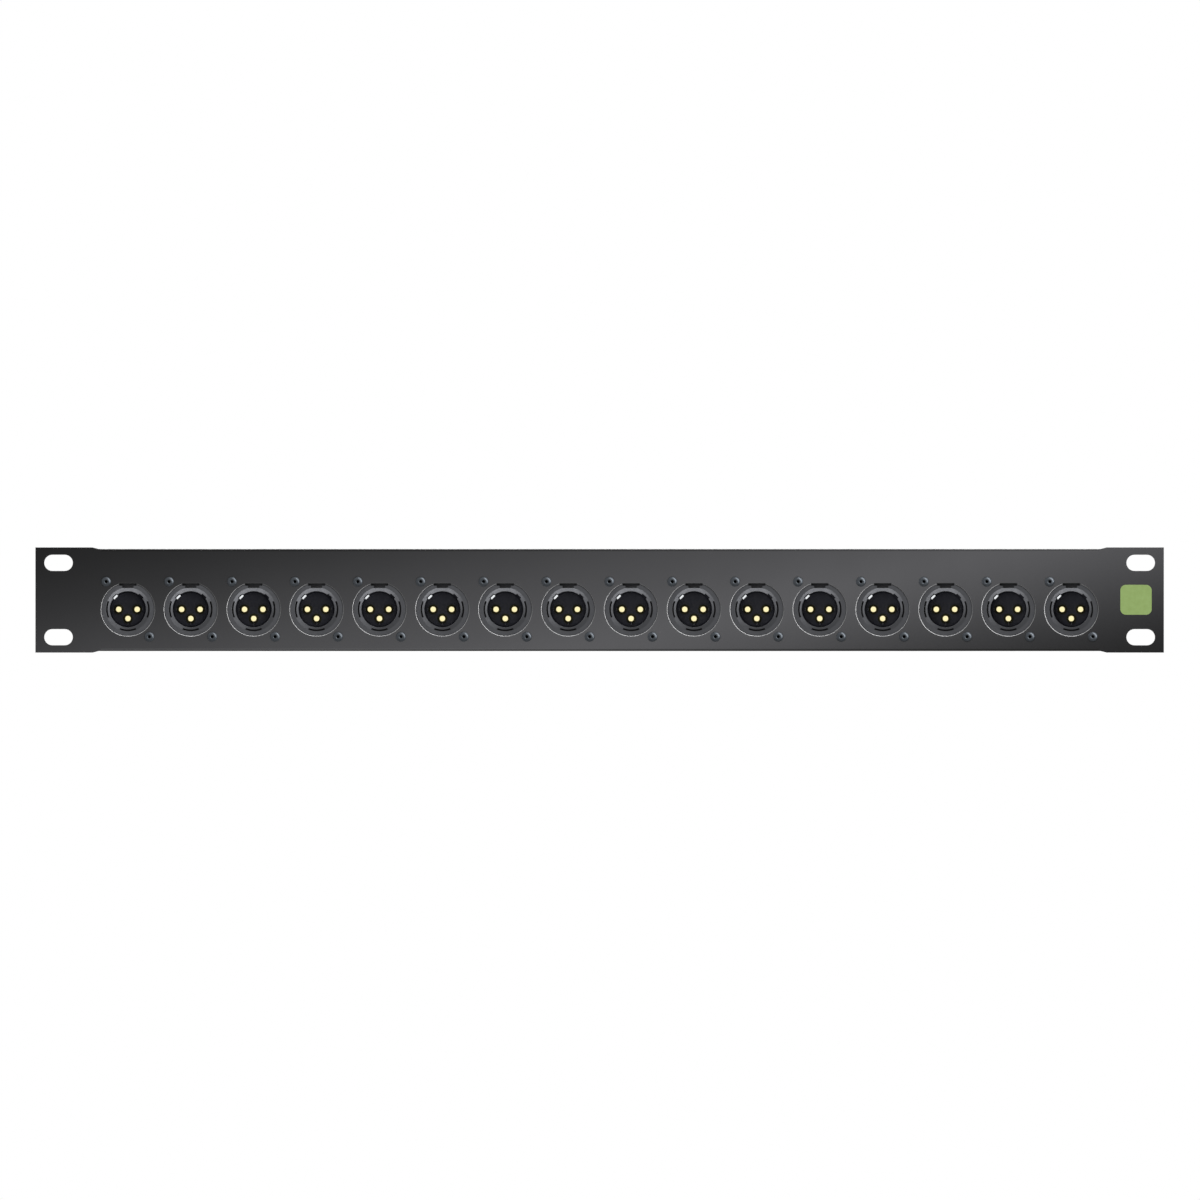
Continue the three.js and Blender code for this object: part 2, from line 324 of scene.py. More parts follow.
def floor_paint():
    n = Nodes("floor_paint")
    colour = n.ramp(n.noise(3, 4), ((0.3, (0.78, 0.78, 0.78)), (0.7, (0.82, 0.82, 0.82))))
    return n.finish(colour, n.spread(n.noise(40, 4), 0.7, 0.85), n.bump(n.noise(300, 3), 0.0001, 0.1))


PAINT, EDGE, SHELL = panel_paint(), worn_edge(), shell_metal()
# The recesses' painted shade: darkest for the arc slots and the rivets' bores, less dark for the latch
# recess.
RECESS_SHADE, LATCH_SHADE = recess_dark("recess_dark", 0.026, 0.044), recess_dark("latch_dark", 0.07, 0.11)
PLASTIC, PIN_HALO_SHADE, NUMBER, GOLD = insert_plastic(), collar_plastic(), number_plastic(), pin_gold()
CONTACT, RIVET, GREEN = contact_metal(), rivet_steel(), print_green()


# ---------------------------------------------------------------- mesh tools
def mesh_from(name, points, faces, materials, face_materials=None, smooth_angle=30.0):
    """A mesh from millimetre points, smooth-shaded up to smooth_angle degrees."""
    mesh = bpy.data.meshes.new(name)
    mesh.from_pydata([Vector(p) * MM for p in points], [], faces)
    for material in materials:
        mesh.materials.append(material)
    if face_materials:
        mesh.polygons.foreach_set("material_index", face_materials)
    joined = bmesh.new()
    joined.from_mesh(mesh)
    bmesh.ops.remove_doubles(joined, verts=joined.verts, dist=WELD)
    bmesh.ops.recalc_face_normals(joined, faces=joined.faces)
    joined.to_mesh(mesh)
    joined.free()
    shade(mesh, smooth_angle)
    return mesh


def shade(mesh, smooth_angle):
    mesh.polygons.foreach_set("use_smooth", [True] * len(mesh.polygons))
    mesh.set_sharp_from_angle(angle=math.radians(smooth_angle))
    mesh.update()


def arc(x, z, radius, start, sweep, steps):
    """Points on an arc in X and Z, both its ends included."""
    angles = [start + sweep * k / steps for k in range(steps + 1)]
    return [(x + radius * math.cos(angle), z + radius * math.sin(angle)) for angle in angles]


def add_outline(points, outline, y):
    """Adds an [x, z] outline at depth y to points, and gives its point numbers."""
    first = len(points)
    points += [(x, y, z) for x, z in outline]
    return list(range(first, len(points)))


def band(near, far):
    """The quads between two closed rings of point numbers."""
    return [[near[k - 1], near[k], far[k], far[k - 1]] for k in range(len(near))]


def capped(count):
    """The faces of a solid whose points are two outlines of count points, one after the other."""
    near, far = list(range(count)), list(range(count, 2 * count))
    return [near, far[::-1], *band(near, far)]


def turned(name, profile, sides, materials, marks=(), closed=False, smooth_angle=30.0):
    """A [radius, y] profile turned about the Y axis; the steps in marks take the second material."""
    points, faces, face_materials = [], [], []
    rings = []
    for radius, y in profile:
        start = len(points)
        if radius < 1e-6:
            points.append((0.0, y, 0.0))
            rings.append([start] * sides)
            continue
        for k in range(sides):
            angle = 2 * math.pi * k / sides
            points.append((radius * math.cos(angle), y, radius * math.sin(angle)))
        rings.append(list(range(start, start + sides)))
    steps = len(rings) if closed else len(rings) - 1
    for step in range(steps):
        near, far = rings[step], rings[(step + 1) % len(rings)]
        for k in range(sides):
            corners = [near[k], near[(k + 1) % sides], far[(k + 1) % sides], far[k]]
            face = [c for i, c in enumerate(corners) if c not in corners[:i]]
            if len(face) > 2:
                faces.append(face)
                face_materials.append(1 if step in marks else 0)
    return mesh_from(name, points, faces, materials, face_materials, smooth_angle)


def prism(name, corners, y_front, y_back, material, smooth_angle=30.0):
    """An [x, z] polygon given depth."""
    points = [(x, y, z) for y in (y_front, y_back) for x, z in corners]
    return mesh_from(name, points, capped(len(corners)), [material], smooth_angle=smooth_angle)


def rounded_rectangle(width, height, radius, steps=8):
    corners = []
    x, z, quarter = width / 2 - radius, height / 2 - radius, math.pi / 2
    for turn, (sx, sz) in enumerate(((1, 1), (-1, 1), (-1, -1), (1, -1))):
        corners += arc(sx * x, sz * z, radius, turn * quarter, quarter, steps)
    return corners


def place(name, mesh, location=(0, 0, 0), slot=None):
    """A piece of the object, riding on the one body."""
    made = bpy.data.objects.new(name, mesh)
    made.location = Vector(location) * MM
    scene.collection.objects.link(made)
    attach(made, "root")
    return made


def scratch(mesh):
    made = bpy.data.objects.new(mesh.name + "_tool", mesh)
    scene.collection.objects.link(made)
    return made


def combined(name, base, tools, smooth_angle=30.0, bevel=0.0):
    """The base mesh after booleans, [(operation, mesh), ...], without the slivers that they leave;
    cut faces keep the tool's material."""
    body = scratch(base)
    helpers = []
    for operation, mesh in tools:
        helper = scratch(mesh)
        helpers.append(helper)
        step = body.modifiers.new(operation, "BOOLEAN")
        step.operation = operation
        step.solver = "EXACT"
        step.material_mode = "TRANSFER"
        step.object = helper
    if bevel:
        step = body.modifiers.new("bevel", "BEVEL")
        step.width = bevel * MM
        step.segments = 2
        step.limit_method = "ANGLE"
        step.angle_limit = math.radians(40)
        step.harden_normals = False
    bpy.context.view_layer.update()
    graph = bpy.context.evaluated_depsgraph_get()
    mesh = bpy.data.meshes.new_from_object(body.evaluated_get(graph))
    mesh.name = name
    for helper in [body, *helpers]:
        bpy.data.objects.remove(helper)
    cleaned = bmesh.new()
    cleaned.from_mesh(mesh)
    bmesh.ops.dissolve_degenerate(cleaned, dist=WELD, edges=cleaned.edges)
    cleaned.to_mesh(mesh)
    cleaned.free()
    shade(mesh, smooth_angle)
    return mesh


# ---------------------------------------------------------------- the panel
def inset(corners, amounts):
    """A polygon with each edge moved inwards by its own amount; corners run anticlockwise."""
    count, moved = len(corners), []
    for i in range(count):
        before, here, after = (Vector(corners[(i + k) % count]) for k in (-1, 0, 1))
        along_a, along_b = (here - before).normalized(), (after - here).normalized()
        normal_a, normal_b = Vector((-along_a.y, along_a.x)), Vector((-along_b.y, along_b.x))
        cross = normal_a.x * normal_b.y - normal_a.y * normal_b.x
        a, b = amounts[(i - 1) % count], amounts[i]
        shift = Vector((a * normal_b.y - b * normal_a.y, b * normal_a.x - a * normal_b.x)) / cross
        moved.append(tuple(here + shift))
    return moved


def rivet_hole(x, z, e):
    return arc(x, z, RIVET_HOLE_RADIUS + e, 0.0, 2 * math.pi, RIVET_HOLE_SIDES)[:-1]


def connector_hole(x, z, e):
    """A connector's hole, anticlockwise from its flat top's right end; e makes it larger all round."""
    radius, half, top = HOLE_RADIUS + e, NOTCH_HALF_WIDTH + e, NOTCH_TOP + e
    start = math.pi - math.acos(half / radius)
    sweep = 2 * math.pi - 2 * (start - math.pi / 2)
    return [(x + half, z + top), (x - half, z + top)] + arc(x, z, radius, start, sweep, HOLE_SIDES)


def rack_slot(x, z, e):
    radius, reach, steps = SLOT_HEIGHT / 2 + e, (SLOT_LENGTH - SLOT_HEIGHT) / 2, 14
    right_end = arc(x + reach, z, radius, -math.pi / 2, math.pi, steps)
    return right_end + arc(x - reach, z, radius, math.pi / 2, math.pi, steps)


def web_outline():
    """The flat web and the two ears, anticlockwise, and how much of the bevel each edge takes."""
    upper = [
        (BEND_END_X, WEB_HALF_HEIGHT),
        (BEND_END_X, BODY_HALF_HEIGHT),
        (EAR_STEP_INNER, BODY_HALF_HEIGHT),
        (EAR_STEP_OUTER, EAR_HALF_HEIGHT),
        (HALF_WIDTH, EAR_HALF_HEIGHT),
    ]
    right = [(x, -z) for x, z in upper] + upper[::-1]
    corners = right + [(-x, -z) for x, z in right]
    takes = [0.0, 1.0, 1.0, 1.0, 1.0, 1.0, 1.0, 1.0, 0.0, 0.0] * 2
    return corners, takes


def plate_loops():
    """The web's outline and its holes, each as a function of how far its edge is moved, and its bevel."""
    corners, takes = web_outline()
    loops = [(lambda e: inset(corners, [e * t for t in takes]), EDGE_BEVEL)]
    for n in range(CONNECTORS):
        x, z = axis_of(n)
        loops.append((lambda e, x=x, z=z: connector_hole(x, z, e), HOLE_BEVEL))
        for dx, dz in RIVET_OFFSETS:
            loops.append((lambda e, x=x + dx, z=z + dz: rivet_hole(x, z, e), RIVET_HOLE_BEVEL))
    for x in (-SLOT_X, SLOT_X):
        for z in (-SLOT_Z, SLOT_Z):
            loops.append((lambda e, x=x, z=z: rack_slot(x, z, e), EDGE_BEVEL))
    return loops


def flat_side(points, loops):
    """The triangles between an outline and the holes inside it, the outline first in loops."""
    order = [i for loop in loops for i in loop]
    where = {i: k for k, i in enumerate(order)}
    flat = [Vector((points[i][0], points[i][2])) for i in order]
    outline, *rims = [[flat[where[i]] for i in loop] for loop in loops]
    holes = []
    for rim in rims:
        centre = sum(rim, Vector((0.0, 0.0))) / len(rim)
        holes.append((centre, max((p - centre).length for p in rim), rim))
    edges = [(where[a], where[b]) for loop in loops for a, b in zip(loop, loop[1:] + loop[:1])]
    corners, _, triangles, sources, *_ = delaunay_2d_cdt(flat, edges, [], 0, 1e-6)
    faces = []
    for triangle in triangles:
        middle = sum((corners[i] for i in triangle), Vector((0.0, 0.0))) / 3
        in_hole = any(
            (middle - centre).length < reach and inside_outline(middle, rim) for centre, reach, rim in holes
        )
        if inside_outline(middle, outline) and not in_hole:
            faces.append([order[sources[i][0]] for i in triangle])
    return faces


def bevelled_plate():
    """The web with its holes: flat faces, a rounded edge at every rim, and straight walls."""
    points, faces = [], []
    front_loops, back_loops = [], []
    turns = [math.pi / 2 * k / BEVEL_STEPS for k in range(BEVEL_STEPS + 1)]
    for shape, bevel in plate_loops():
        stations = [(bevel * (1 - math.sin(t)), PANEL_FRONT + bevel * (1 - math.cos(t))) for t in turns]
        back_bevel = min(bevel, BACK_BEVEL)
        stations += [(0.0, PANEL_BACK - back_bevel), (back_bevel, PANEL_BACK)]
        rings = [add_outline(points, shape(moved), y) for moved, y in stations]
        for near, far in zip(rings, rings[1:]):
            faces += band(near, far)
        front_loops.append(rings[0])
        back_loops.append(rings[-1])
    faces += flat_side(points, front_loops) + flat_side(points, back_loops)
    return mesh_from("web_plate", points, faces, [PAINT], smooth_angle=35.0)


def bare_rims():
    """The bare metal at the connectors' holes: a thin strip on each rounded edge, but not on its flat top."""
    turns = [math.pi / 2 * k / BEVEL_STEPS for k in range(BEVEL_STEPS + 1)]
    section = [(HOLE_BEVEL + RIM_PROUD, t) for t in turns]
    section += [(HOLE_BEVEL - RIM_DEEP, t) for t in reversed(turns)]
    points, faces = [], []
    for n in range(CONNECTORS):
        x, z = axis_of(n)
        runs = []
        for radius, t in section:
            y = PANEL_FRONT + HOLE_BEVEL - radius * math.cos(t)
            round_part = connector_hole(x, z, HOLE_BEVEL - radius * math.sin(t))[2:]
            runs.append(add_outline(points, round_part, y))
        for near, far in zip(runs, runs[1:] + runs[:1]):
            faces += band(near, far)[1:]
        faces += [[run[0] for run in runs], [run[-1] for run in reversed(runs)]]
    return mesh_from("cut_edges_visual", points, faces, [EDGE], smooth_angle=35.0)


def inside_outline(p, corners):
    inside = False
    for (x0, z0), (x1, z1) in zip(corners, corners[1:] + corners[:1]):
        if (z0 > p.y) != (z1 > p.y) and p.x < (x1 - x0) * (p.y - z0) / (z1 - z0) + x0:
            inside = not inside
    return inside


def bend_profile(sign):
    """The upper (or lower) bend and return flange, as (y, z) from the web's edge round and back."""
    thick, steps, tip = PANEL_BACK - PANEL_FRONT, 10, 0.12
    inner_face = BODY_HALF_HEIGHT - thick
    quarter, across = math.pi / 2, math.pi
    outer = arc(PANEL_FRONT + BEND_OUTER, BODY_HALF_HEIGHT - BEND_OUTER, BEND_OUTER, across, -quarter, steps)
    inner = arc(PANEL_BACK + BEND_INNER, inner_face - BEND_INNER, BEND_INNER, quarter, quarter, steps)
    profile = [(PANEL_FRONT, WEB_HALF_HEIGHT), *outer]
    profile += [(FLANGE_BACK - tip, BODY_HALF_HEIGHT), (FLANGE_BACK, BODY_HALF_HEIGHT - tip)]
    profile += [(FLANGE_BACK, inner_face + tip), (FLANGE_BACK - tip, inner_face)]
    profile += [*inner, (PANEL_BACK, WEB_HALF_HEIGHT)]
    return [(y, sign * z) for y, z in profile]


def bent_edge(sign):
    profile = bend_profile(sign)
    points = [(x, y, z) for x in (-BEND_END_X, BEND_END_X) for y, z in profile]
    return mesh_from("bent_edge", points, capped(len(profile)), [PAINT], smooth_angle=35.0)


def build_panel():
    joined = bmesh.new()
    for mesh in (bevelled_plate(), bent_edge(1), bent_edge(-1)):
        joined.from_mesh(mesh)
    whole = bpy.data.meshes.new("front_panel_visual")
    joined.to_mesh(whole)
    joined.free()
    whole.materials.append(PAINT)
    shade(whole, 35.0)
    sheet = place("panel_sheet", whole, slot="panel_paint")
    weigh = sheet.modifiers.new("weighted", "WEIGHTED_NORMAL")
    weigh.keep_sharp = True
    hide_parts("front_panel")
    place("cut_edges", bare_rims(), slot="panel_paint")
    return sheet


# ---------------------------------------------------------------- the connectors
def node_name(kind, n):
    return f"{kind}_{n + 1:02d}"


def axis_of(n):
    """Where a connector's axis stands, in millimetres: its insert is round, so the middle of its box."""
    low, high = AXIS_BOXES[n]
    return ((low[0] + high[0]) / 2 / MM, (low[2] + high[2]) / 2 / MM)


AXIS_BOXES = [[tuple(v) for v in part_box(node_name("connector_insert", n))] for n in range(CONNECTORS)]


def arc_slot(angle):
    steps = 12
    ring = arc(0.0, 0.0, ARC_OUTER, angle - ARC_HALF, 2 * ARC_HALF, steps)
    ring += arc(0.0, 0.0, ARC_INNER, angle + ARC_HALF, -2 * ARC_HALF, steps)
    # the slot's cut faces take the recesses' painted shade
    return prism("arc_cut", ring, LIP_FRONT - CUT_RUN_OUT, ARC_FLOOR, RECESS_SHADE)


def keyway(angle):
    """A groove along the cup's wall, cut from inside the cup and into the insert's seat."""
    outwards = Vector((math.cos(angle), math.sin(angle)))
    across = Vector((-outwards.y, outwards.x)) * KEYWAY_WIDTH / 2
    near, far = outwards * KEYWAY_INNER, outwards * KEYWAY_OUTER
    corners = [tuple(corner) for corner in (near - across, far - across, far + across, near + across)]
    return prism("keyway_cut", corners, LIP_FRONT - CUT_RUN_OUT, SEAT_Y + 0.3, SHELL)


def latch_recess():
    """The stepped space for the plug's latch, at the top of the ring; its cut faces take the latch recess's
    painted shade.
    """
    left = [(-LATCH_WIDE, LATCH_TOP), (-LATCH_WIDE, LATCH_STEP)]
    left += [(-LATCH_NARROW, LATCH_STEP), (-LATCH_NARROW, LATCH_BOTTOM)]
    corners = left + [(-x, z) for x, z in reversed(left)]
    return prism("latch_cut", corners, LIP_FRONT - CUT_RUN_OUT, LATCH_FLOOR, LATCH_SHADE)


def shell_mesh():
    body = turned(
        "shell_body",
        [
            (CUP_RADIUS, SEAT_Y),
            (CUP_RADIUS, LIP_FRONT + 0.12),
            (CUP_RADIUS + 0.03, LIP_FRONT + 0.04),
            (CUP_RADIUS + 0.1, LIP_FRONT),
            (CUP_RADIUS + 0.22, LIP_FRONT + 0.03),
            (CUP_RADIUS + 0.28, LIP_FRONT + 0.051),
            (LIP_OUTER - 0.16, RING_FACE - 0.051),
            (LIP_OUTER - 0.1, RING_FACE - 0.03),
            (LIP_OUTER, RING_FACE),
            (LIP_OUTER + 0.06, RING_FACE),
            (BOSS_RADIUS - 0.16, RING_FACE),
            (BOSS_RADIUS - 0.1, RING_FACE),
            (BOSS_RADIUS - 0.03, RING_FACE + 0.03),
            (BOSS_RADIUS, RING_FACE + 0.1),
            (BOSS_RADIUS, 1.0),
            (TUBE_RADIUS, 1.0),
            (TUBE_RADIUS, TUBE_BACK - 0.4),
            (TUBE_RADIUS - 0.4, TUBE_BACK),
            (SEAT_RADIUS + 0.2, TUBE_BACK),
            (SEAT_RADIUS, TUBE_BACK - 0.2),
            (SEAT_RADIUS, SEAT_Y),
        ],
        96,
        [SHELL, RECESS_SHADE],
        closed=True,
    )
    tools = [("UNION", flange_mesh())]
    tools += [("DIFFERENCE", arc_slot(math.radians(angle))) for angle in (0, 180, -90)]
    tools += [("DIFFERENCE", latch_recess())]
    tools += [("DIFFERENCE", keyway(math.radians(angle))) for angle in (45, 135)]
    return combined("connector_shell_mesh", body, tools, 32.0)


def flange_mesh():
    """The shell's rectangular mounting flange, its edges rounded, with the bore left for the tube."""
    rim, middle, bore = 0.35, 0.1, 9.4
    front_edge = [(rim, 0.0), (middle, middle), (0.0, rim)]
    back_edge = [(e, FLANGE_THICK - y) for e, y in reversed(front_edge)]
    points, rings = [], []
    for e, y in front_edge + back_edge:
        outline = rounded_rectangle(FLANGE_WIDTH - 2 * e, FLANGE_HEIGHT - 2 * e, FLANGE_CORNER - e)
        rings.append(add_outline(points, outline, y))
    faces = [rings[0][::-1], rings[-1]]
    for near, far in zip(rings, rings[1:]):
        faces += band(near, far)
    solid = mesh_from("flange_block", points, faces, [SHELL], smooth_angle=35.0)
    cut = turned("flange_bore", [(0, -1), (bore, -1), (bore, 3), (0, 3)], 96, [SHELL])
    return combined("flange_plate", solid, [("DIFFERENCE", cut)], 35.0)


def insert_mesh():
    return turned(
        "connector_insert_mesh",
        [
            (0, INSERT_FACE),
            (INSERT_FACE_RADIUS - 0.15, INSERT_FACE),
            (INSERT_FACE_RADIUS, INSERT_FACE + 0.15),
            (INSERT_FACE_RADIUS, SEAT_Y),
            (INSERT_RADIUS - 0.2, SEAT_Y),
            (INSERT_RADIUS, SEAT_Y + 0.2),
            (INSERT_RADIUS, INSERT_BACK - 0.5),
            (INSERT_RADIUS - 0.5, INSERT_BACK),
            (0, INSERT_BACK),
        ],
        72,
        [PLASTIC],
    )


def collar_mesh():
    """Thin rings round the three pins, proud of the insert's face, which carry the painted shade and painted
    gold reflection round each pin.
    """
    bore, root = PIN_RADIUS + 0.02, INSERT_FACE + 0.1
    ring = turned(
        "collar_ring",
        [
            (bore, root),
            (bore, INSERT_FACE - PIN_HALO_PROUD),
            (PIN_HALO_RADIUS - PIN_HALO_PROUD, INSERT_FACE - PIN_HALO_PROUD),
            (PIN_HALO_RADIUS, INSERT_FACE),
            (PIN_HALO_RADIUS, root),
        ],
        40,
        [PIN_HALO_SHADE],
        closed=True,
    )
    joined = bmesh.new()
    for _, dx, dz in PIN_PLACES:
        one = ring.copy()
        one.transform(Matrix.Translation(Vector((dx, 0, dz)) * MM))
        joined.from_mesh(one)
    made = bpy.data.meshes.new("collar_mesh")
    joined.to_mesh(made)
    joined.free()
    made.materials.append(PIN_HALO_SHADE)
    shade(made, 35.0)
    return made


def pin_mesh():
    shaft = turned(
        "pin_shaft",
        [
            (0, 0.0),
            (0.6, 0.008),
            (0.95, 0.025),
            (1.16, 0.06),
            (1.26, 0.12),
            (1.32, 0.22),
            (1.35, 0.34),
            (PIN_RADIUS, 0.5),
            (PIN_RADIUS, SEAT_Y + 0.5),
            (1.0, SEAT_Y + 0.8),
            (1.0, INSERT_BACK - 0.6),
            (SOLDER_CUP_RADIUS, INSERT_BACK - 0.4),
            (SOLDER_CUP_RADIUS, SOLDER_CUP_BACK - 0.15),
            (SOLDER_CUP_RADIUS - 0.15, SOLDER_CUP_BACK),
            (SOLDER_CUP_BORE, SOLDER_CUP_BACK),
            (SOLDER_CUP_BORE, INSERT_BACK + 1.2),
            (0, INSERT_BACK + 0.8),
        ],
        32,
        [GOLD],
        smooth_angle=40.0,
    )
    scoop = [(-3.0, 0.35), (3.0, 0.35), (3.0, 4.0), (-3.0, 4.0)]
    cut = prism("scoop_cut", scoop, INSERT_BACK + 1.6, SOLDER_CUP_BACK + CUT_RUN_OUT, GOLD)
    return combined("pin_mesh", shaft, [("DIFFERENCE", cut)], 40.0)


def contact_mesh():
    """The sprung strip: its nose is rounded, it bows into the cup, and its heel rests on the insert."""
    outer, heel, nose, half_width = 8.0, 7.35, 6.9, 1.1
    side = [(7.16, -0.7), (7.84, -0.7), (7.95, -0.66), (outer, -0.55), (outer, SEAT_Y), (heel, SEAT_Y)]
    side += [(heel, 10.0), (7.28, 8.6), (7.08, 6.6), (6.94, 4.6), (nose, 2.6)]
    side += [(nose, -0.42), (6.95, -0.58), (7.04, -0.67)]
    points = [(r, y, z) for z in (-half_width, half_width) for r, y in side]
    mesh = mesh_from("contact_strip", points, capped(len(side)), [CONTACT])
    mesh = combined("ground_contact_mesh", mesh, [], 35.0, bevel=0.07)
    mesh.transform(Matrix.Rotation(-CONTACT_ANGLE, 4, "Y"))
    return mesh


def rivet_mesh():
    profile = [
        (0, -0.1),
        (0.6, -0.1),
        (0.62, -2.1),
        (0.66, -2.26),
        (0.78, -2.36),
        (0.95, -2.39),
        (1.2, -2.36),
        (1.5, -2.25),
        (1.78, -2.08),
        (2.0, -1.86),
        (2.12, -1.66),
        (2.12, PANEL_FRONT - 0.04),
        (2.06, PANEL_FRONT),
        (1.3, PANEL_FRONT),
        (1.3, 1.8),
        (1.75, 2.05),
        (1.95, 2.5),
        (1.9, 3.3),
        (1.6, 3.75),
        (1.2, 3.9),
        (0.7, 3.85),
        (0.6, 3.3),
        (0, 3.3),
    ]
    # the first two steps, the bore in the head, take the recesses' painted shade
    return turned("rivet_mesh", profile, 40, [RIVET, RECESS_SHADE], marks=(0, 1), smooth_angle=40.0)


def number_mesh():
    """The pole numbers moulded on the insert's face, beside their pins."""
    upright = Matrix.Rotation(math.pi / 2, 4, "X")
    joined = bmesh.new()
    for character, dx, dz in PIN_PLACES:
        x, z = dx * NUMBER_RADIUS / PIN_SPREAD, dz * NUMBER_RADIUS / PIN_SPREAD
        text = bpy.data.curves.new("number_" + character, "FONT")
        text.body = character
        text.size = NUMBER_SIZE * MM
        text.extrude = 0.06 * MM
        text.bevel_depth = 0.015 * MM
        text.align_x, text.align_y = "CENTER", "CENTER"
        holder = bpy.data.objects.new("number_holder", text)
        scene.collection.objects.link(holder)
        bpy.context.view_layer.update()
        graph = bpy.context.evaluated_depsgraph_get()
        mesh = bpy.data.meshes.new_from_object(holder.evaluated_get(graph))
        mesh.transform(Matrix.Translation(Vector((x, INSERT_FACE - 0.05, z)) * MM) @ upright)
        joined.from_mesh(mesh)
        bpy.data.objects.remove(holder)
    bmesh.ops.remove_doubles(joined, verts=joined.verts, dist=WELD)
    made = bpy.data.meshes.new("pole_numbers_mesh")
    joined.to_mesh(made)
    joined.free()
    made.materials.append(NUMBER)
    made.polygons.foreach_set("material_index", [0] * len(made.polygons))
    return made


def build_connectors():
    shell, insert, pin = shell_mesh(), insert_mesh(), pin_mesh()
    contact, rivet, numbers, pin_halos = contact_mesh(), rivet_mesh(), number_mesh(), collar_mesh()
    for n in range(CONNECTORS):
        x, z = axis_of(n)
        made = place(node_name("shell_casting", n), shell, (x, 0, z), "shell_metal")
        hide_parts(node_name("connector_shell", n))
        made = place(node_name("insert_moulding", n), insert, (x, 0, z), "insert_plastic")
        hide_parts(node_name("connector_insert", n))
        made = place(node_name("contact_strip", n), contact, (x, 0, z), "contact_metal")
        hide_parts(node_name("ground_contact", n))
        place(node_name("pole_numbers", n), numbers, (x, 0, z), "print_pale")
        # the rings of painted shade and painted gold reflection round the pins
        place(node_name("insert_collars", n), pin_halos, (x, 0, z), "insert_plastic")
        for label, dx, dz in PIN_PLACES:
            place(node_name("pin", n) + "_pole_" + label, pin, (x + dx, 0, z + dz), "pin_gold")
        for label, (dx, dz) in zip(("upper", "lower"), RIVET_OFFSETS):
            place(node_name("rivet", n) + "_" + label, rivet, (x + dx, 0, z + dz), "rivet_steel")


def build_print():
    """A plain green patch of ink on the right ear."""
    corners = rounded_rectangle(PATCH_WIDTH, PATCH_HEIGHT, PATCH_CORNER)
    mesh = prism("green_patch_mesh", corners, PANEL_FRONT - PATCH_INK, PANEL_FRONT + PATCH_INK, GREEN)
    place("green_patch", mesh, (PATCH_X, 0, PATCH_Z), "print_green")


# ---------------------------------------------------------------- the studio
def build_camera():
    camera = bpy.data.cameras.new("camera")
    camera.type = "ORTHO"
    camera.ortho_scale = CAMERA_SPAN
    camera.clip_start, camera.clip_end = 0.01, 20
    holder = bpy.data.objects.new("camera", camera)
    holder.location = CAMERA_PLACE
    holder.rotation_euler = (math.pi / 2, 0, 0)
    scene.collection.objects.link(holder)
    scene.camera = holder


def area_light(name, centre, across, towards, size, radiance):
    """A rectangular light given by the radiance its face shows, its width along across."""
    data = bpy.data.lights.new(name, "AREA")
    data.shape = "RECTANGLE"
    data.size, data.size_y = size
    data.energy = radiance * size[0] * size[1] * math.pi
    made = bpy.data.objects.new(name, data)
    back = -Vector(towards).normalized()
    side = Vector(across)
    side = (side - back * side.dot(back)).normalized()
    turn = Matrix((side, back.cross(side), back)).transposed()
    made.matrix_world = Matrix.Translation(Vector(centre)) @ turn.to_4x4()
    made.visible_camera = False
    scene.collection.objects.link(made)
    return made


def softbox(name, clock, off_axis, distance, size, radiance, receivers=None):
    """A light facing the panel's middle: clock is its direction round the camera's axis, in degrees from +X
    towards +Z, and off_axis how far it stands from that axis. Its width runs round the axis."""
    around, off = math.radians(clock), math.radians(off_axis)
    place_at = Vector((math.sin(off) * math.cos(around), -math.cos(off), math.sin(off) * math.sin(around)))
    across = (-math.sin(around), 0, math.cos(around))
    made = area_light(name, place_at * distance, across, -place_at, size, radiance)
    if receivers:
        link_to(made, receivers)
    return made


def link_to(light, receivers):
    group = bpy.data.collections.new(light.name + "_receivers")
    for receiver in receivers:
        group.objects.link(receiver)
    light.light_linking.receiver_collection = group


def build_world():
    """White to the camera, and a dim room, lighter overhead, to everything else."""
    world = bpy.data.worlds.new("studio")
    scene.world = world
    world.use_nodes = True
    tree = world.node_tree
    tree.nodes.clear()
    out = tree.nodes.new("ShaderNodeOutputWorld")
    mix = tree.nodes.new("ShaderNodeMixShader")
    path = tree.nodes.new("ShaderNodeLightPath")
    seen = tree.nodes.new("ShaderNodeBackground")
    seen.inputs["Color"].default_value = (1, 1, 1, 1)
    light = tree.nodes.new("ShaderNodeBackground")
    coords = tree.nodes.new("ShaderNodeTexCoord")
    along = tree.nodes.new("ShaderNodeVectorMath")
    along.operation = "DOT_PRODUCT"
    along.inputs[1].default_value = (0, 0, 1)
    ramp = tree.nodes.new("ShaderNodeMapRange")
    for name, value in (("From Min", -1.0), ("From Max", 1.0), ("To Min", ROOM_LOW), ("To Max", ROOM_HIGH)):
        ramp.inputs[name].default_value = value
    tree.links.new(coords.outputs["Generated"], along.inputs[0])
    tree.links.new(along.outputs["Value"], ramp.inputs["Value"])
    tree.links.new(ramp.outputs["Result"], light.inputs["Color"])
    tree.links.new(path.outputs["Is Camera Ray"], mix.inputs["Fac"])
    tree.links.new(light.outputs["Background"], mix.inputs[1])
    tree.links.new(seen.outputs["Background"], mix.inputs[2])
    tree.links.new(mix.outputs["Shader"], out.inputs["Surface"])


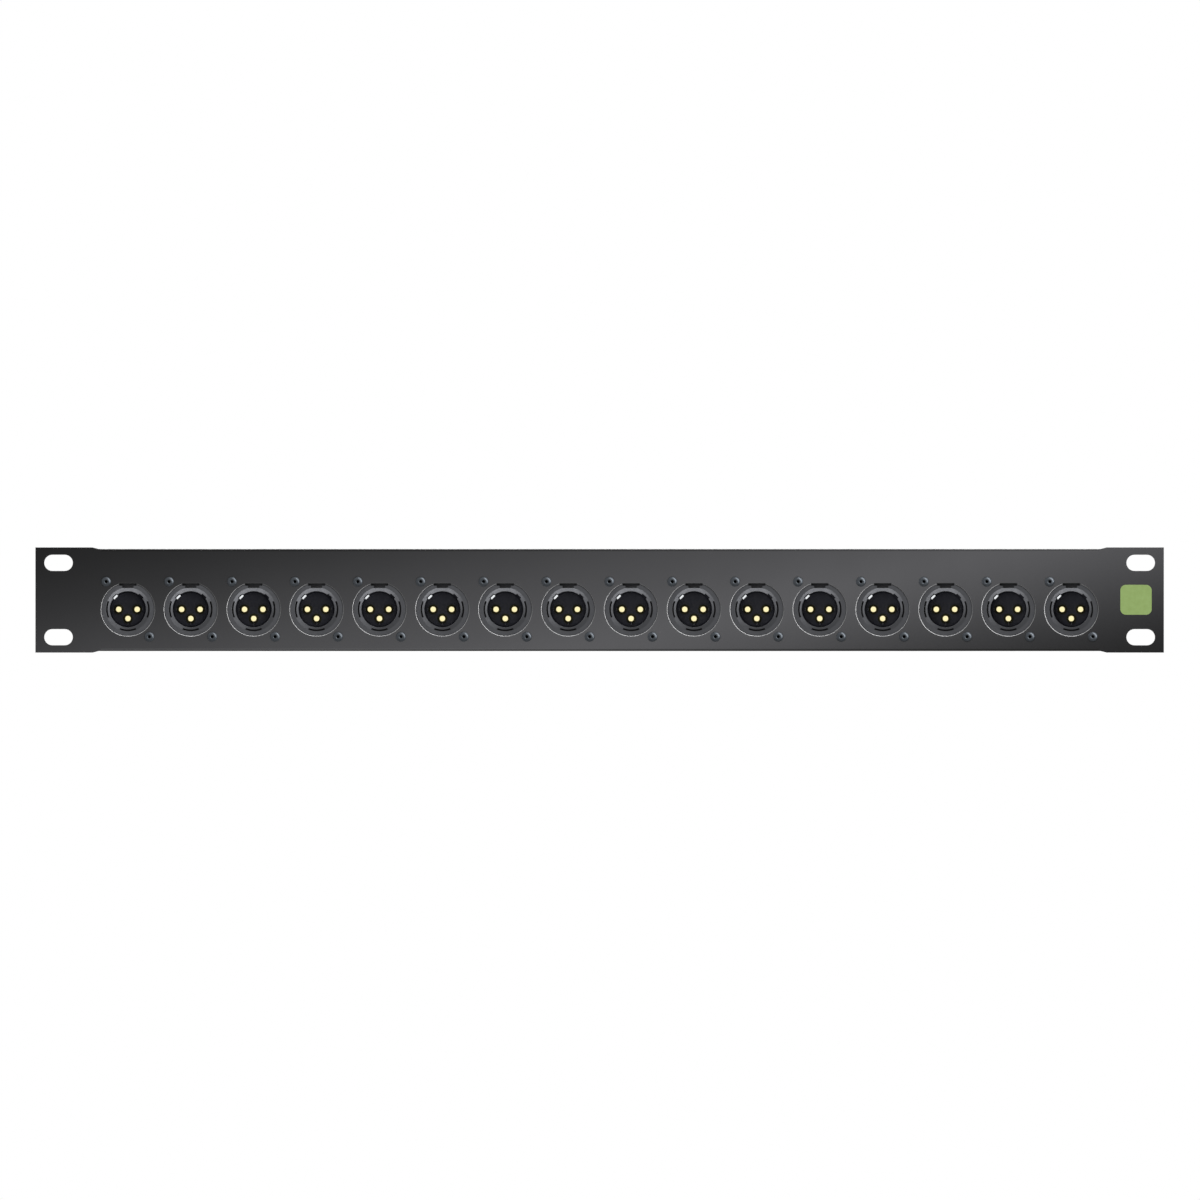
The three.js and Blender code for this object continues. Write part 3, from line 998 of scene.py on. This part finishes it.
def build_sheen(panel):
    """The card whose soft diagonal band lies along the panel: only the paint reflects it."""
    tilt = math.radians(SHEEN_TILT)
    card = area_light(
        "sheen_card", SHEEN_CENTRE, (math.cos(tilt), 0, math.sin(tilt)), (0, 1, 0), SHEEN_SIZE, SHEEN_RADIANCE
    )
    card.data.use_nodes = True
    tree = card.data.node_tree
    emission = tree.nodes["Emission"]
    geometry = tree.nodes.new("ShaderNodeNewGeometry")
    split = tree.nodes.new("ShaderNodeSeparateXYZ")
    ramp = tree.nodes.new("ShaderNodeValToRGB")
    elements = ramp.color_ramp.elements
    while len(elements) < len(SHEEN_BAND):
        elements.new(0.5)
    for element, (height, level) in zip(elements, SHEEN_BAND):
        element.position = 0.5 + height * MM / SHEEN_SIZE[1]
        element.color = (level, level, level * 1.05, 1)
    tree.links.new(geometry.outputs["Parametric"], split.inputs["Vector"])
    tree.links.new(split.outputs["Y"], ramp.inputs["Fac"])
    tree.links.new(ramp.outputs["Color"], emission.inputs["Color"])
    link_to(card, [panel])


def build_floor():
    """The ground under the ears, for the views from the side; it lends the object no light and no shadow."""
    reach = 12.0
    mesh = bpy.data.meshes.new("floor")
    sides = ((-1, -1), (1, -1), (1, 1), (-1, 1))
    corners = [(reach * x, reach * y, -EAR_HALF_HEIGHT * MM) for x, y in sides]
    mesh.from_pydata(corners, [], [(0, 1, 2, 3)])
    mesh.materials.append(floor_paint())
    made = bpy.data.objects.new("floor", mesh)
    made.visible_glossy = False
    made.visible_shadow = False
    made.visible_diffuse = False
    scene.collection.objects.link(made)
    return made


def pieces(*starts):
    return [made for made in scene.objects if made.name.startswith(starts)]


def build_lights(panel, floor):
    build_sheen(panel)
    shells, inserts, edges = pieces("shell_casting"), pieces("insert_", "pole_numbers"), pieces("cut_edges")
    softbox("casting_top", 110, 40, 1.2, (2.4, 0.45), 1.75, shells + inserts)
    softbox("casting_left", 195, 40, 1.2, (1.4, 0.45), 0.75, shells)
    softbox("casting_right", 35, 40, 1.2, (1.0, 0.45), 0.75, shells)
    softbox("casting_below", 290, 40, 1.2, (2.4, 0.45), 0.13, shells)
    softbox("casting_front", 0, 0, 1.2, (0.5, 0.5), 0.15, shells)
    softbox("insert_front", 0, 0, 1.2, (0.5, 0.5), 1.7, inserts + pieces("green_patch"))
    softbox("key", 35, 55, 1.2, (1.8, 0.7), 1.8, pieces("rivet", "green_patch"))
    softbox("edge_key", 40, 52, 1.2, (5.0, 0.7), 3.9, edges)
    softbox("edge_above", 125, 52, 1.2, (1.2, 0.7), 1.4, edges)
    softbox("edge_below", 318, 52, 1.2, (1.6, 0.7), 1.2, edges)
    softbox("low_strip", 270, 40, 0.39, (0.7, 0.1), 1.0, [panel])
    softbox("bright_front", 0, 0, 1.0, (1.5, 1.5), 0.9, pieces("pin_", "contact_strip"))
    area_light("back_fill", (0.6, 1.3, 0.9), (1, 0, 0), (-0.6, -1.3, -0.9), (2.0, 1.4), 4.0)
    area_light("back_side", (-1.1, 1.1, 0.5), (1, 1, 0), (1.1, -1.1, -0.5), (1.2, 1.0), 2.5)
    overhead = area_light("floor_light", (0, 0, 4), (1, 0, 0), (0, 0, -1), (8, 8), 0.55)
    link_to(overhead, [floor])


scene.view_settings.view_transform = "Standard"
scene.view_settings.look = "None"
panel = build_panel()
build_connectors()
build_print()
build_camera()
build_world()
build_lights(panel, build_floor())
